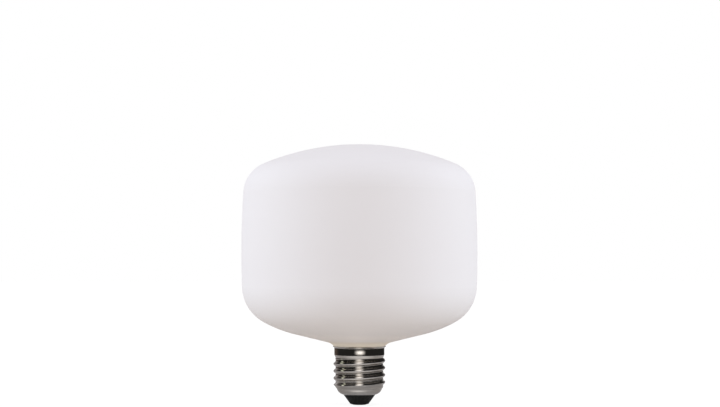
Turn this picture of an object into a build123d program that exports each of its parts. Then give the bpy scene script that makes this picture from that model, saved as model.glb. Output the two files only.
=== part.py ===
from build123d import *
import os
from math import asin, ceil, cos, degrees, radians, sin, sqrt, tan

# Drum-shaped porcelain-white LED lamp with an E27 screw cap, in millimetres.
# The origin is the centre of the contact's bottom face, and +Z runs up the lamp's axis to the crown.

# Glass envelope
glass_diameter = 120.0
overall_height = 132.0
crown_radius = 126.0
shoulder_radius = 16.5
side_radius = 500.0
waist_height = 78.0
heel_radius = 21.0
underside_radius = 64.0
underside_slope = 14.0
underside_cone_diameter = 66.6
neck_diameter = 22.3
neck_blend_radius = 7.0
neck_depth = 9.0
neck_end_radius = 2.0

# Cap sheet
sheet_thickness = 0.3
shell_bottom = 5.0
bottom_hole_diameter = 15.2
bottom_diameter = 23.3
bottom_corner_radius = 4.2
step_bottom = 8.0
step_top = 8.75
skirt_diameter = 25.5
skirt_bottom = 25.2
runout_height = 1.5
rim_diameter = 27.2
rim_height = 29.5
flare_height = 0.8

# Rolled thread, right-handed
thread_pitch = 3.629
thread_crest_diameter = 26.3
thread_arc_radius = 1.025
thread_bottom = 9.25
thread_top = 23.85
thread_crest_height = 15.1
thread_bottom_fade = 1.3
thread_top_fade = 1.5
thread_fade_lean = 2.0
thread_root_land = 0.04

# Insulator
tip_diameter = 9.3
tip_height = 0.3
tip_edge_radius = 0.5
cone_top_diameter = 16.2
plug_height = 2.0

# Centre contact
contact_diameter = 7.4
contact_thickness = 0.9
contact_edge_radius = 0.25
rivet_diameter = 2.8
rivet_stand = 0.6

# Fits
rim_clearance = 0.1
hole_clearance = 0.05
rivet_clearance = 0.05
cement_top_gap = 0.8

glass_radius = glass_diameter / 2
neck_radius = neck_diameter / 2
hole_radius = bottom_hole_diameter / 2
skirt_radius = skirt_diameter / 2
rim_radius = rim_diameter / 2
crest_radius = thread_crest_diameter / 2
half_pitch = thread_pitch / 2
thread_depth = 2 * thread_arc_radius - sqrt(4 * thread_arc_radius**2 - half_pitch**2)
root_radius = crest_radius - thread_depth
core_radius = root_radius + thread_root_land
skirt_bore_radius = skirt_radius - sheet_thickness
plug_top = shell_bottom + sheet_thickness + plug_height


def turned(section):
    """Solid of revolution about the lamp's axis; a section's X is the radius and its Y is the height."""
    return revolve(Plane.XZ * section, Axis.Z)


def outline(*points):
    """Flat section bounded by straight lines between the points."""
    return make_face(Polyline(*points, close=True))


def rounded(section, corner, radius):
    """The section with its corner at the given point rounded."""
    vertex = section.vertices().sort_by_distance((*corner, 0))[0]
    return fillet(vertex, radius)


def glass_section():
    """Section of the envelope: crown, barrel side, flat-coned underside and neck, blended by arcs."""
    # The blend into the neck clears the lip of the rim and the top of the skirt's bore.
    lip = (rim_radius - sheet_thickness, rim_height)
    bore_top = (skirt_bore_radius, rim_height - flare_height)
    blend_centre_radius = neck_radius + neck_blend_radius
    blend_reach = neck_blend_radius - rim_clearance
    blend_centre_height = max(
        height - sqrt(blend_reach**2 - (blend_centre_radius - radius) ** 2)
        for radius, height in (lip, bore_top)
    )

    # The underside is a cone from the neck's blend out to where its arc begins.
    slope = radians(underside_slope)
    cone_start = (
        blend_centre_radius - neck_blend_radius * sin(slope),
        blend_centre_height + neck_blend_radius * cos(slope),
    )
    cone_end_radius = underside_cone_diameter / 2

    def cone_height(radius):
        return cone_start[1] + (radius - cone_start[0]) * tan(slope)

    cone_end = (cone_end_radius, cone_height(cone_end_radius))
    neck_corner = (neck_radius, cone_height(neck_radius))
    arc_sweep = 90 - underside_slope
    underside_arc = JernArc(cone_end, (cos(slope), sin(slope)), underside_radius, arc_sweep)
    far_corner = underside_arc @ 1
    above_lamp = overall_height + crown_radius
    above_underside = make_face(
        [
            Line((0, cone_height(0)), cone_end),
            underside_arc,
            Line(far_corner, (far_corner.X, above_lamp)),
            Line((far_corner.X, above_lamp), (0, above_lamp)),
            Line((0, above_lamp), (0, cone_height(0))),
        ]
    )

    crown = Pos(0, overall_height - crown_radius) * Circle(crown_radius)
    barrel = Pos(glass_radius - side_radius, waist_height) * Circle(side_radius)
    drum = above_underside & crown & barrel
    corners = drum.vertices().sort_by(Axis.X)[-2:].sort_by(Axis.Y)
    heel_corner, shoulder_corner = ((corner.X, corner.Y) for corner in corners)
    drum = rounded(drum, shoulder_corner, shoulder_radius)
    drum = rounded(drum, heel_corner, heel_radius)

    neck_end = rim_height - neck_depth
    neck = outline((0, neck_end), (neck_radius, neck_end), neck_corner, (0, waist_height))
    neck = rounded(neck, (neck_radius, neck_end), neck_end_radius)
    return rounded(drum + neck, neck_corner, neck_blend_radius)


def glass_bulb():
    """Blown envelope, opaque and sealed, with its neck inside the cap."""
    return turned(glass_section())


def cap_section(inset):
    """Filled section of the cap without its thread; inset by the sheet's thickness, it is the inside's."""
    core = core_radius - inset
    skirt = skirt_radius - inset
    floor = shell_bottom + inset

    # The bottom corner's arc stops short of upright, at the step out to the thread.
    arc_start = (bottom_diameter / 2 - bottom_corner_radius, floor)
    short_of_upright = asin((shell_bottom + bottom_corner_radius - step_bottom) / bottom_corner_radius)
    corner_arc = JernArc(arc_start, (1, 0), bottom_corner_radius - inset, 90 - degrees(short_of_upright))
    sides = Polyline(
        corner_arc @ 1,
        (core, step_top + inset / 2),
        (core, skirt_bottom - runout_height),
        (skirt, skirt_bottom),
        (skirt, rim_height - flare_height),
        (rim_radius - inset, rim_height),
        (0, rim_height),
        (0, floor),
        arc_start,
    )
    return make_face([corner_arc, sides])


def thread_profile(inset):
    """Section of the ridge about its own middle: a crest arc between two root arcs, and its buried part."""
    crest = crest_radius - inset
    core = core_radius - inset
    crest_arc = thread_arc_radius - inset
    root_arc = thread_arc_radius + inset
    crest_centre = Vector(crest - crest_arc, 0)
    root_centre = Vector(root_radius - inset + root_arc, half_pitch)
    join = crest_centre + (root_centre - crest_centre).normalized() * crest_arc

    # The root arcs run on into the core, so that the ridge's flanks cross its surface.
    foot_radius = core - thread_root_land / 2
    foot = (foot_radius, half_pitch - sqrt(root_arc**2 - (root_centre.X - foot_radius) ** 2))
    inner_end = (core - thread_depth, foot[1])
    flank_end = (join.X, join.Y)

    def below(point):
        return (point[0], -point[1])

    return make_face(
        [
            Line(below(inner_end), below(foot)),
            RadiusArc(below(foot), below(flank_end), root_arc),
            ThreePointArc(below(flank_end), (crest, 0), flank_end),
            RadiusArc(flank_end, foot, root_arc),
            Line(foot, inner_end),
            Line(inner_end, below(inner_end)),
        ]
    )


def thread_fade(inset):
    """Space between two cones that fade the thread's ends.

    The cones lean, so that each end fades out within about half a turn. They run on past the ridge on both
    sides, so that they alone cut it.
    """
    crest = crest_radius - inset
    core = core_radius - inset
    rise = crest - core
    bottom = thread_bottom + inset
    past_bottom = thread_bottom - 2 * thread_pitch
    past_top = thread_top + 2 * thread_pitch
    above_bottom = outline(
        (0, bottom - thread_bottom_fade),
        (core - rise, bottom - thread_bottom_fade),
        (crest + rise, bottom + 2 * thread_bottom_fade),
        (crest + rise, past_top),
        (0, past_top),
    )
    below_top = outline(
        (0, thread_top + thread_top_fade),
        (core - rise, thread_top + thread_top_fade),
        (crest + rise, thread_top - 2 * thread_top_fade),
        (crest + rise, past_bottom),
        (0, past_bottom),
    )

    def leaning(section, height):
        return Pos(0, 0, height) * Rot(0, -thread_fade_lean, 0) * Pos(0, 0, -height) * turned(section)

    return leaning(above_bottom, bottom) & leaning(below_top, thread_top)


def thread_ridge(inset):
    """Helical ridge of the thread, faded out at both ends."""
    turns_below = ceil((thread_crest_height - thread_bottom) / thread_pitch) + 1
    start = thread_crest_height - turns_below * thread_pitch
    height = thread_top + thread_pitch - start
    path = Helix(thread_pitch, height, core_radius - inset, center=(0, 0, start))
    ridge = sweep(Plane.XZ * Pos(0, start) * thread_profile(inset), path=path, is_frenet=True)
    return ridge & thread_fade(inset)


def cap_form(inset):
    """Filled form of the cap's outside, or of its inside when inset by the sheet's thickness."""
    return turned(cap_section(inset)) + thread_ridge(inset)


def screw_shell():
    """Nickel-plated sheet: rounded bottom with its hole, rolled thread, skirt and flared rim."""
    hole = Pos(0, 0, shell_bottom) * Cylinder(hole_radius, 4 * sheet_thickness)
    return cap_form(0) - cap_form(sheet_thickness) - hole


def insulator():
    """Black moulding: a cone below the cap, a hub through its hole and a plug seated inside its bottom."""
    tip_radius = tip_diameter / 2
    hub_radius = hole_radius - hole_clearance
    recess_radius = contact_diameter / 2 + rivet_clearance
    recess_top = contact_thickness
    bore = rivet_diameter / 2 + rivet_clearance
    cone = outline(
        (0, tip_height),
        (tip_radius, tip_height),
        (cone_top_diameter / 2, shell_bottom),
        (0, shell_bottom),
    )
    cone = rounded(cone, (tip_radius, tip_height), tip_edge_radius)
    hub = outline((0, shell_bottom), (hub_radius, shell_bottom), (hub_radius, plug_top), (0, plug_top))
    seat = outline((0, 0), (recess_radius, 0), (recess_radius, recess_top), (0, recess_top))
    hole = outline((0, 0), (bore, 0), (bore, plug_top), (0, plug_top))
    plug = cap_section(sheet_thickness) & Rectangle(2 * core_radius, 2 * plug_top)
    return turned(cone + hub + plug - seat - hole)


def centre_contact():
    """Riveted button: a flat head with a rounded edge, and its shank through the insulator."""
    head_radius = contact_diameter / 2
    shank_radius = rivet_diameter / 2
    shank_top = plug_top + rivet_stand
    button = outline(
        (0, 0),
        (head_radius, 0),
        (head_radius, contact_thickness),
        (shank_radius, contact_thickness),
        (shank_radius, shank_top),
        (0, shank_top),
    )
    return turned(rounded(button, (head_radius, 0), contact_edge_radius))


def cement_ring():
    """Capping cement that fills the skirt around the glass neck."""
    top = rim_height - flare_height - cement_top_gap
    filling = outline(
        (neck_radius, skirt_bottom),
        (skirt_bore_radius, skirt_bottom),
        (skirt_bore_radius, top),
        (neck_radius, top),
    )
    return turned(filling - glass_section())


pieces = {
    "glass_bulb": glass_bulb(),
    "screw_shell": screw_shell(),
    "insulator": insulator(),
    "centre_contact": centre_contact(),
    "cement_ring": cement_ring(),
}

os.makedirs("parts", exist_ok=True)
for name, piece in pieces.items():
    export_step(piece, f"parts/{name}.step")
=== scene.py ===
from math import cos, pi, radians, sin

import bpy
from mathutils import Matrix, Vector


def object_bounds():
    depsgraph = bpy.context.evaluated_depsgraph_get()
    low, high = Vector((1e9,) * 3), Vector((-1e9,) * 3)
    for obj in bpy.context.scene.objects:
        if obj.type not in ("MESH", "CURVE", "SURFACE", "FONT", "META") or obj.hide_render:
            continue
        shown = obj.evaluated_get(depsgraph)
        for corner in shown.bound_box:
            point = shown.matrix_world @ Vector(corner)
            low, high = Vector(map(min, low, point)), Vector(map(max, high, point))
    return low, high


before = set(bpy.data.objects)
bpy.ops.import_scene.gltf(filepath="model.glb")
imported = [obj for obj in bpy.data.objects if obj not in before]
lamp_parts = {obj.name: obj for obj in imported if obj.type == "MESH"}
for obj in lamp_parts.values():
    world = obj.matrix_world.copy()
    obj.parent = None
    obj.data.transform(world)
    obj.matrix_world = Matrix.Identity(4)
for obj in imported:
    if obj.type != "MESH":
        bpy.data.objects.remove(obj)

cad_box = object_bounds()

# All lengths are in metres. A strip is its middle, its half-width and its soft edge.

# Porcelain-white coating. Down the neck it turns paler, as painted light that lifts the shade there, and
# then creamier, as a painted warm reflection
coat_shaded = (0.835, 0.822, 0.822, 1.0)
coat_light = (0.862, 0.852, 0.852, 1.0)
coat_speck = (0.848, 0.838, 0.836, 1.0)
coat_painted_light = (0.935, 0.913, 0.897, 1.0)
coat_painted_warm_reflection = (0.95, 0.885, 0.765, 1.0)
coat_smooth = 0.74
coat_rough = 0.84
coat_specular = 0.08
coat_relief = 0.000012
neck_painted_light_top = 0.0375
neck_painted_light_full = 0.0345
neck_painted_warmth_top = 0.0333
neck_painted_warmth_full = 0.0305
neck_wander = 0.0012

# Nickel plate, darker in the roots of the thread, partly tarnish and partly painted shade, and rubbed on
# its crests
plate_dark = (0.60, 0.565, 0.52, 1.0)
plate_light = (0.66, 0.63, 0.59, 1.0)
plate_tarnish_and_shade = (0.36, 0.33, 0.29, 1.0)
plate_rubbed = (0.72, 0.69, 0.64, 1.0)
plate_roughness = 0.025
line_roughness = 0.02
stain_roughness = 0.02
crest_roughness = 0.05
root_roughness = 0.03
root_tarnish_and_shade = 0.5
crest_rubbing = 0.3
scuff_relief = 0.4
plate_relief = 0.0000005
skirt_bottom = 0.0252
thread_bottom = 0.0092
thread_end = 0.001
thread_root = 0.01209
root_reach = 0.0004
thread_crest = 0.01315
crest_reach = 0.0003

# Black moulding
black_deep = (0.006, 0.007, 0.006, 1.0)
black_grey = (0.011, 0.012, 0.010, 1.0)
black_roughness = 0.4
mottle_roughness = 0.15
skin_roughness = 0.08
black_specular = 0.24
black_relief = 0.00001

# Tinned contact
tin_dark = (0.50, 0.48, 0.44, 1.0)
tin_light = (0.62, 0.60, 0.56, 1.0)
tin_roughness = 0.45
tin_polish = 0.15
tin_stain_roughness = 0.08
tin_stain_relief = 0.5
tin_relief = 0.000012
contact_face = 0.0034
contact_middle = 0.0008

# Capping cement
cement_dark = (0.55, 0.48, 0.36, 1.0)
cement_light = (0.68, 0.61, 0.48, 1.0)
cement_patches = 0.6
cement_grit = 0.4
cement_smooth = 0.8
cement_rough = 0.95
cement_specular = 0.2
cement_relief = 0.00006

# Camera, standing in front of the lamp and looking slightly up
camera_distance = 0.750
camera_height = 0.0735
camera_side = 0.0003
camera_pitch = radians(2.18)
camera_lens = 73.53
camera_near = 0.01

# White dome, and three soft lights that no surface mirrors
white = (1.0, 1.0, 1.0, 1.0)
dome_strength = 0.775
dome_colour = (1.0, 0.945, 0.96, 1.0)
backdrop_strength = 1.0
light_colour = (0.74, 0.86, 1.0)
side_power = 7.0
front_power = 0.7
light_size = 0.9
side_turn = radians(80.0)
light_height = 0.45
light_distance = 1.25

# Paper, which carries painted streaks of light for the plate to mirror, and which the plate mirrors darker
# than it is, as painted shade
paper_size = 8.0
paper_drop = 0.00005
paper_colour = (0.73, 0.68, 0.615, 1.0)
paper_mirrored_shaded = (0.50, 0.495, 0.49, 1.0)
paper_glow = 0.9
paper_shade = (0.17, 0.17, 0.17, 1.0)
paper_streak = 0.35
near_turns = (-6.0, 4.0, 39.0)
near_radii = (0.0172, 0.0016, 0.0022)
near_share = 1.1
far_turns = (1.0, 5.0, 85.0)
far_radii = (0.036, 0.010, 0.012)
under_radii = (0.0085, 0.002, 0.003)
under_share = 0.23

# Black cards that only the plate mirrors, as painted dark reflections: a wall that is open at its back
# right, and a collar under the glass that hides the glass from the plate
card_sides = 180
wall_radius = 0.16
wall_height = 1.0
wall_opening = radians(24.0)
collar_height = 0.0302
collar_hole = 0.0142
collar_radius = 0.058
collar_thickness = 0.0002

# Painted light on the cards, which the plate mirrors as painted highlights, by its turn in degrees from
# the front and its height
card_colour = (1.0, 0.97, 0.95, 1.0)
card_glow = 0.022
spot_turns = (2.5, 1.0, 27.0)
spot_foot = (0.0160, 0.0174)
spot_head = (0.0192, 0.0177)
spot_strength = 2.2
slot_turns = (-2.0, 1.0, 21.0)
slot_bar = (0.0185, 0.003, 0.001)
slot_strength = 1.3
window_colour = (0.96, 1.0, 0.84, 1.0)
window_turns = (-78.0, 3.0, 5.0)
window_heights = (0.042, 0.008, 0.006)
window_strength = 2.3
back_left_turns = (-160.0, 20.0, 40.0)
back_right_turns = (160.0, 10.0, 25.0)
back_rise = (0.0215, 0.040)
back_low_colour = (1.0, 0.70, 0.55, 1.0)
back_low_strength = 0.08
back_high_colour = (1.0, 0.97, 1.0, 1.0)
back_left_strength = 0.5
back_right_strength = 0.3


class Socket:
    """One output in a node tree. Arithmetic on it adds Math nodes to the same tree."""

    def __init__(self, tree, output=None):
        self.tree = tree
        self.output = output

    def node(self, kind, settings=(), inputs=(), output=0):
        """Adds a node with its settings, then the values or links of its inputs, and returns an output."""
        made = self.tree.nodes.new(kind)
        for name, value in dict(settings).items():
            setattr(made, name, value)
        for name, value in dict(inputs).items():
            if isinstance(value, Socket):
                self.tree.links.new(value.output, made.inputs[name])
            else:
                made.inputs[name].default_value = value
        return Socket(self.tree, made.outputs[output] if made.outputs else None)

    def maths(self, operation, first, second=0.0):
        return self.node("ShaderNodeMath", {"operation": operation}, {0: first, 1: second})

    def __add__(self, other):
        return self.maths("ADD", self, other)

    __radd__ = __add__

    def __sub__(self, other):
        return self.maths("SUBTRACT", self, other)

    def __rsub__(self, other):
        return self.maths("SUBTRACT", other, self)

    def __mul__(self, other):
        return self.maths("MULTIPLY", self, other)

    __rmul__ = __mul__


def ramp(value, low, high, at_low=0.0, at_high=1.0):
    """Runs smoothly from at_low to at_high as the value goes from low to high."""
    settings = {"interpolation_type": "SMOOTHSTEP"}
    inputs = {
        "Value": value,
        "From Min": low,
        "From Max": high,
        "To Min": at_low,
        "To Max": at_high,
    }
    return value.node("ShaderNodeMapRange", settings, inputs)


def strip(value, middle, half_width, soft):
    """1 within a strip of values and 0 away from it, with soft edges."""
    off = value.maths("ABSOLUTE", value - middle)
    return ramp(off, half_width + soft, half_width)


def blend(factor, first, second):
    """Mixes two colours by a factor."""
    settings = {"data_type": "RGBA", "blend_type": "MIX", "clamp_factor": True}
    return factor.node("ShaderNodeMix", settings, {"Factor": factor, "A": first, "B": second}, "Result")


def grain(place, scale, detail=3.0, roughness=0.55, stretch=(1.0, 1.0, 1.0)):
    """Noise from 0 to 1, with `scale` grains a metre, drawn finer along the axes by `stretch`."""
    spread = place.node("ShaderNodeMapping", {}, {"Vector": place, "Scale": stretch})
    inputs = {"Vector": spread, "Scale": scale, "Detail": detail, "Roughness": roughness}
    return place.node("ShaderNodeTexNoise", {"noise_dimensions": "3D"}, inputs)


def relief(height, depth):
    """Normal of a surface whose relief is `depth` metres deep."""
    return height.node("ShaderNodeBump", {}, {"Strength": 1.0, "Distance": depth, "Height": height})


def along(place, axis):
    """One coordinate of a place: X across, Y away from the camera or Z up."""
    return place.node("ShaderNodeSeparateXYZ", {}, {"Vector": place}, axis)


def height_of(place):
    return along(place, "Z")


def radius_of(place):
    """Distance from the lamp's axis."""
    flat = place.node("ShaderNodeVectorMath", {"operation": "MULTIPLY"}, {0: place, 1: (1.0, 1.0, 0.0)})
    return place.node("ShaderNodeVectorMath", {"operation": "LENGTH"}, {"Vector": flat}, "Value")


def turn_of(place):
    """Angle round the lamp's axis in degrees, 0 at the front and 90 at the right."""
    angle = place.maths("ARCTAN2", along(place, "X"), 0 - along(place, "Y"))
    return angle * (180 / pi)


def finish(part_name, look):
    """Gives a part a new material, which the look function fills."""
    material = bpy.data.materials.new(part_name + "_finish")
    material.use_nodes = True
    material.node_tree.nodes.clear()
    start = Socket(material.node_tree)
    place = start.node("ShaderNodeTexCoord", output="Object")
    surface = start.node("ShaderNodeBsdfPrincipled", {}, look(place))
    start.node("ShaderNodeOutputMaterial", {}, {"Surface": surface})
    slots = lamp_parts[part_name].data.materials
    slots.clear()
    slots.append(material)


def porcelain_white(place):
    """Matt white coating on the glass, a little uneven, paler at the neck as painted light and then
    creamier as a painted warm reflection.
    """
    cloud = grain(place, scale=16.0, detail=2.0)
    speck = grain(place, scale=1500.0, detail=2.0)
    mottled = blend(cloud, coat_shaded, coat_light)
    dusted = blend(ramp(speck, low=0.35, high=0.75), mottled, coat_speck)
    height = height_of(place) + (cloud - 0.5) * neck_wander
    # Painted light down the neck: a paler band lifts the shade there, then a creamier band is a painted
    # warm reflection
    coat_with_painted_light = blend(ramp(height, neck_painted_light_top, neck_painted_light_full), dusted, coat_painted_light)
    return {
        "Base Color": blend(ramp(height, neck_painted_warmth_top, neck_painted_warmth_full), coat_with_painted_light, coat_painted_warm_reflection),
        "Roughness": ramp(speck, low=0.3, high=0.7, at_low=coat_smooth, at_high=coat_rough),
        "Specular IOR Level": coat_specular,
        "Normal": relief(speck, coat_relief),
    }


def nickel_plate(place):
    """Bright plate over rolled sheet: drawing lines round the cap, roots darkened partly by tarnish and
    partly by painted shade, and rubbed crests.
    """
    radius = radius_of(place)
    height = height_of(place)
    lines = grain(place, scale=60.0, detail=4.0, roughness=0.7, stretch=(1.0, 1.0, 60.0))
    stain = grain(place, scale=260.0)
    scuff = grain(place, scale=900.0, roughness=0.6, stretch=(1.0, 1.0, 3.0))
    above_bottom = ramp(height, thread_bottom - thread_end, thread_bottom)
    below_skirt = ramp(height, skirt_bottom, skirt_bottom - thread_end)
    threaded = above_bottom * below_skirt
    crest = ramp(radius, thread_crest - crest_reach, thread_crest) * threaded
    root = ramp(radius, thread_root + root_reach, thread_root) * threaded
    rubbed = crest * ramp(scuff, low=0.45, high=0.7)
    plate = blend(stain, plate_dark, plate_light)
    # Painted shade, partly tarnish: the roots of the thread are darker
    tarnished_and_shaded = blend(root * root_tarnish_and_shade, plate, plate_tarnish_and_shade)
    stained = ramp(stain, low=0.5, high=0.8)
    drawn = plate_roughness + lines * line_roughness + stained * stain_roughness
    return {
        "Base Color": blend(rubbed * crest_rubbing, tarnished_and_shaded, plate_rubbed),
        "Metallic": 1.0,
        "Roughness": drawn + rubbed * crest_roughness + root * root_roughness,
        "Normal": relief(lines + scuff * scuff_relief, plate_relief),
    }


def black_insulator(place):
    """Black moulding with a faint mottle and a fine moulded skin."""
    skin = grain(place, scale=1800.0, detail=2.0)
    mottle = grain(place, scale=180.0)
    return {
        "Base Color": blend(mottle, black_deep, black_grey),
        "Roughness": black_roughness + mottle * mottle_roughness + skin * skin_roughness,
        "Specular IOR Level": black_specular,
        "Normal": relief(skin, black_relief),
    }


def contact_metal(place):
    """Tinned contact: dull, with the rubbed middle that a sprung contact leaves."""
    scratch = grain(place, scale=240.0, detail=4.0, roughness=0.7, stretch=(6.0, 1.0, 1.0))
    stain = grain(place, scale=700.0)
    rubbed = ramp(radius_of(place), contact_face, contact_middle) * ramp(scratch, low=0.35, high=0.65)
    return {
        "Base Color": blend(stain, tin_dark, tin_light),
        "Metallic": 1.0,
        "Roughness": tin_roughness - rubbed * tin_polish + stain * tin_stain_roughness,
        "Normal": relief(scratch + stain * tin_stain_relief, tin_relief),
    }


def capping_cement(place):
    """Gritty beige cement."""
    grit = grain(place, scale=1600.0, detail=4.0, roughness=0.65)
    patch = grain(place, scale=220.0, detail=2.0)
    return {
        "Base Color": blend(patch * cement_patches + grit * cement_grit, cement_dark, cement_light),
        "Roughness": ramp(grit, low=0.3, high=0.7, at_low=cement_smooth, at_high=cement_rough),
        "Specular IOR Level": cement_specular,
        "Normal": relief(grit, cement_relief),
    }


def start_shape(name):
    """Names the primitive that has just been added."""
    shape = bpy.context.active_object
    shape.name = name
    return shape


def studio_material(shape, name):
    """An empty node material on a studio object."""
    material = bpy.data.materials.new(name)
    material.use_nodes = True
    material.node_tree.nodes.clear()
    shape.data.materials.append(material)
    return Socket(material.node_tree)


def light_path(start, *kinds):
    """For each kind of ray, 1 where such a ray has arrived and 0 elsewhere."""
    return (start.node("ShaderNodeLightPath", output=f"Is {kind} Ray") for kind in kinds)


def lay_paper():
    """Pale paper under the lamp. The camera sees it white, with the lamp's shade on it. What mirrors it
    sees a darker copy as painted shade, with painted streaks of light.
    """
    bpy.ops.object.select_all(action="DESELECT")
    bpy.ops.mesh.primitive_plane_add(size=paper_size, location=(0.0, 0.0, -paper_drop))
    start = studio_material(start_shape("paper"), "paper_white")
    camera, glossy = light_path(start, "Camera", "Glossy")
    place = start.node("ShaderNodeTexCoord", output="Object")
    radius = radius_of(place)
    turn = turn_of(place)
    near = strip(turn, *near_turns) * strip(radius, *near_radii) * near_share
    under = strip(radius, *under_radii) * under_share
    far = strip(turn, *far_turns) * strip(radius, *far_radii)
    streaks = (near + far + under) * glossy * paper_streak
    # What mirrors the paper sees it darker, as painted shade
    lit = start.node("ShaderNodeBsdfDiffuse", {}, {"Color": blend(glossy, paper_colour, paper_mirrored_shaded)})
    streak = start.node("ShaderNodeEmission", {}, {"Strength": streaks})
    mirrored = start.node("ShaderNodeAddShader", {}, {0: lit, 1: streak})
    shade = start.node("ShaderNodeBsdfDiffuse", {}, {"Color": paper_shade})
    glow = start.node("ShaderNodeEmission", {}, {"Color": white, "Strength": paper_glow})
    bright = start.node("ShaderNodeAddShader", {}, {0: glow, 1: shade})
    surface = start.node("ShaderNodeMixShader", {}, {0: camera, 1: mirrored, 2: bright})
    start.node("ShaderNodeOutputMaterial", {}, {"Surface": surface})


def hang_dome():
    """White all round for what looks or mirrors, and a soft even light for the rest."""
    world = bpy.data.worlds.new("studio_dome")
    bpy.context.scene.world = world
    world.use_nodes = True
    world.node_tree.nodes.clear()
    start = Socket(world.node_tree)
    camera, glossy, through = light_path(start, "Camera", "Glossy", "Transmission")
    seen = start.maths("MINIMUM", camera + glossy + through, 1.0)
    backdrop = start.node("ShaderNodeBackground", {}, {"Color": white, "Strength": backdrop_strength})
    light = start.node("ShaderNodeBackground", {}, {"Color": dome_colour, "Strength": dome_strength})
    surface = start.node("ShaderNodeMixShader", {}, {0: seen, 1: light, 2: backdrop})
    start.node("ShaderNodeOutputWorld", {}, {"Surface": surface})


def hang_light(name, turn, power):
    """A square soft light that points at the middle of the lamp and can't be seen."""
    light = bpy.data.lights.new(name, "AREA")
    light.energy = power
    light.size = light_size
    light.color = light_colour
    holder = bpy.data.objects.new(name, light)
    bpy.context.scene.collection.objects.link(holder)
    holder.location = (light_distance * sin(turn), -light_distance * cos(turn), light_height)
    middle = (cad_box[0] + cad_box[1]) / 2
    holder.rotation_euler = (middle - holder.location).to_track_quat("-Z", "Y").to_euler()
    holder.visible_camera = False
    holder.visible_glossy = False


def only_mirrored(shape):
    """Hides a studio object from everything but mirror-like surfaces."""
    shape.visible_camera = False
    shape.visible_diffuse = False
    shape.visible_transmission = False
    shape.visible_volume_scatter = False
    shape.visible_shadow = False


def stand_wall():
    """Wall of black card round the lamp, with an opening at its back right, a painted dark reflection for
    the plate.
    """
    bpy.ops.object.select_all(action="DESELECT")
    bpy.ops.mesh.primitive_cylinder_add(
        vertices=card_sides,
        radius=wall_radius,
        depth=wall_height,
        end_fill_type="NOTHING",
        location=(0.0, 0.0, wall_height / 2),
    )
    wall = start_shape("black_flags")
    bpy.ops.object.transform_apply(location=True, rotation=False, scale=False)
    bpy.ops.object.mode_set(mode="EDIT")
    bpy.ops.mesh.select_all(action="DESELECT")
    bpy.ops.mesh.select_mode(type="FACE")
    bpy.ops.object.mode_set(mode="OBJECT")
    for face in wall.data.polygons:
        face.select = face.center.x > 0 and face.center.y > wall_radius * cos(wall_opening)
    bpy.ops.object.mode_set(mode="EDIT")
    bpy.ops.mesh.delete(type="FACE")
    bpy.ops.object.mode_set(mode="OBJECT")
    return wall


def hang_collar():
    """Collar of black card under the glass, a painted dark reflection where the plate would mirror the
    glass.
    """
    bpy.ops.object.select_all(action="DESELECT")
    bpy.ops.mesh.primitive_cone_add(
        vertices=card_sides,
        radius1=collar_radius,
        radius2=collar_hole,
        depth=collar_thickness,
        end_fill_type="NOTHING",
        location=(0.0, 0.0, collar_height),
    )
    collar = start_shape("black_collar")
    bpy.ops.object.transform_apply(location=True, rotation=False, scale=False)
    return collar


def put_up_cards():
    """Black cards with slots for light, as painted dark reflections and painted highlights. Only what
    mirrors sees them.
    """
    wall = stand_wall()
    collar = hang_collar()
    start = studio_material(wall, "black_card")
    collar.data.materials.append(wall.data.materials[0])
    place = start.node("ShaderNodeTexCoord", output="Object")
    turn = turn_of(place)
    height = height_of(place)
    spot = strip(turn, *spot_turns) * ramp(height, *spot_foot) * ramp(height, *spot_head) * spot_strength
    slot = strip(turn, *slot_turns) * (1.0 - strip(height, *slot_bar)) * slot_strength
    window = strip(turn, *window_turns) * strip(height, *window_heights) * window_strength
    back_left = strip(turn, *back_left_turns)
    back_right = strip(turn, *back_right_turns)
    high = ramp(height, *back_rise)
    back_low = back_left * (1.0 - high) * back_low_strength
    back_high = (back_left * back_left_strength + back_right * back_right_strength) * high
    front = spot + slot + card_glow
    surface = start.node("ShaderNodeEmission", {}, {"Color": card_colour, "Strength": front})
    lights = ((window_colour, window), (back_low_colour, back_low), (back_high_colour, back_high))
    for colour, strength in lights:
        light = start.node("ShaderNodeEmission", {}, {"Color": colour, "Strength": strength})
        surface = start.node("ShaderNodeAddShader", {}, {0: surface, 1: light})
    start.node("ShaderNodeOutputMaterial", {}, {"Surface": surface})
    only_mirrored(wall)
    only_mirrored(collar)


def place_camera():
    camera = bpy.data.cameras.new("photo_camera")
    camera.lens = camera_lens
    camera.clip_start = camera_near
    holder = bpy.data.objects.new("photo_camera", camera)
    bpy.context.scene.collection.objects.link(holder)
    holder.location = (camera_side, -camera_distance, camera_height)
    holder.rotation_euler = (pi / 2 + camera_pitch, 0.0, 0.0)
    bpy.context.scene.camera = holder


finish("glass_bulb", porcelain_white)
finish("screw_shell", nickel_plate)
finish("insulator", black_insulator)
finish("centre_contact", contact_metal)
finish("cement_ring", capping_cement)

lay_paper()
hang_dome()
put_up_cards()
hang_light("left_light", -side_turn, side_power)
hang_light("front_light", 0.0, front_power)
hang_light("right_light", side_turn, side_power)
place_camera()

bpy.context.scene.view_settings.view_transform = "Standard"
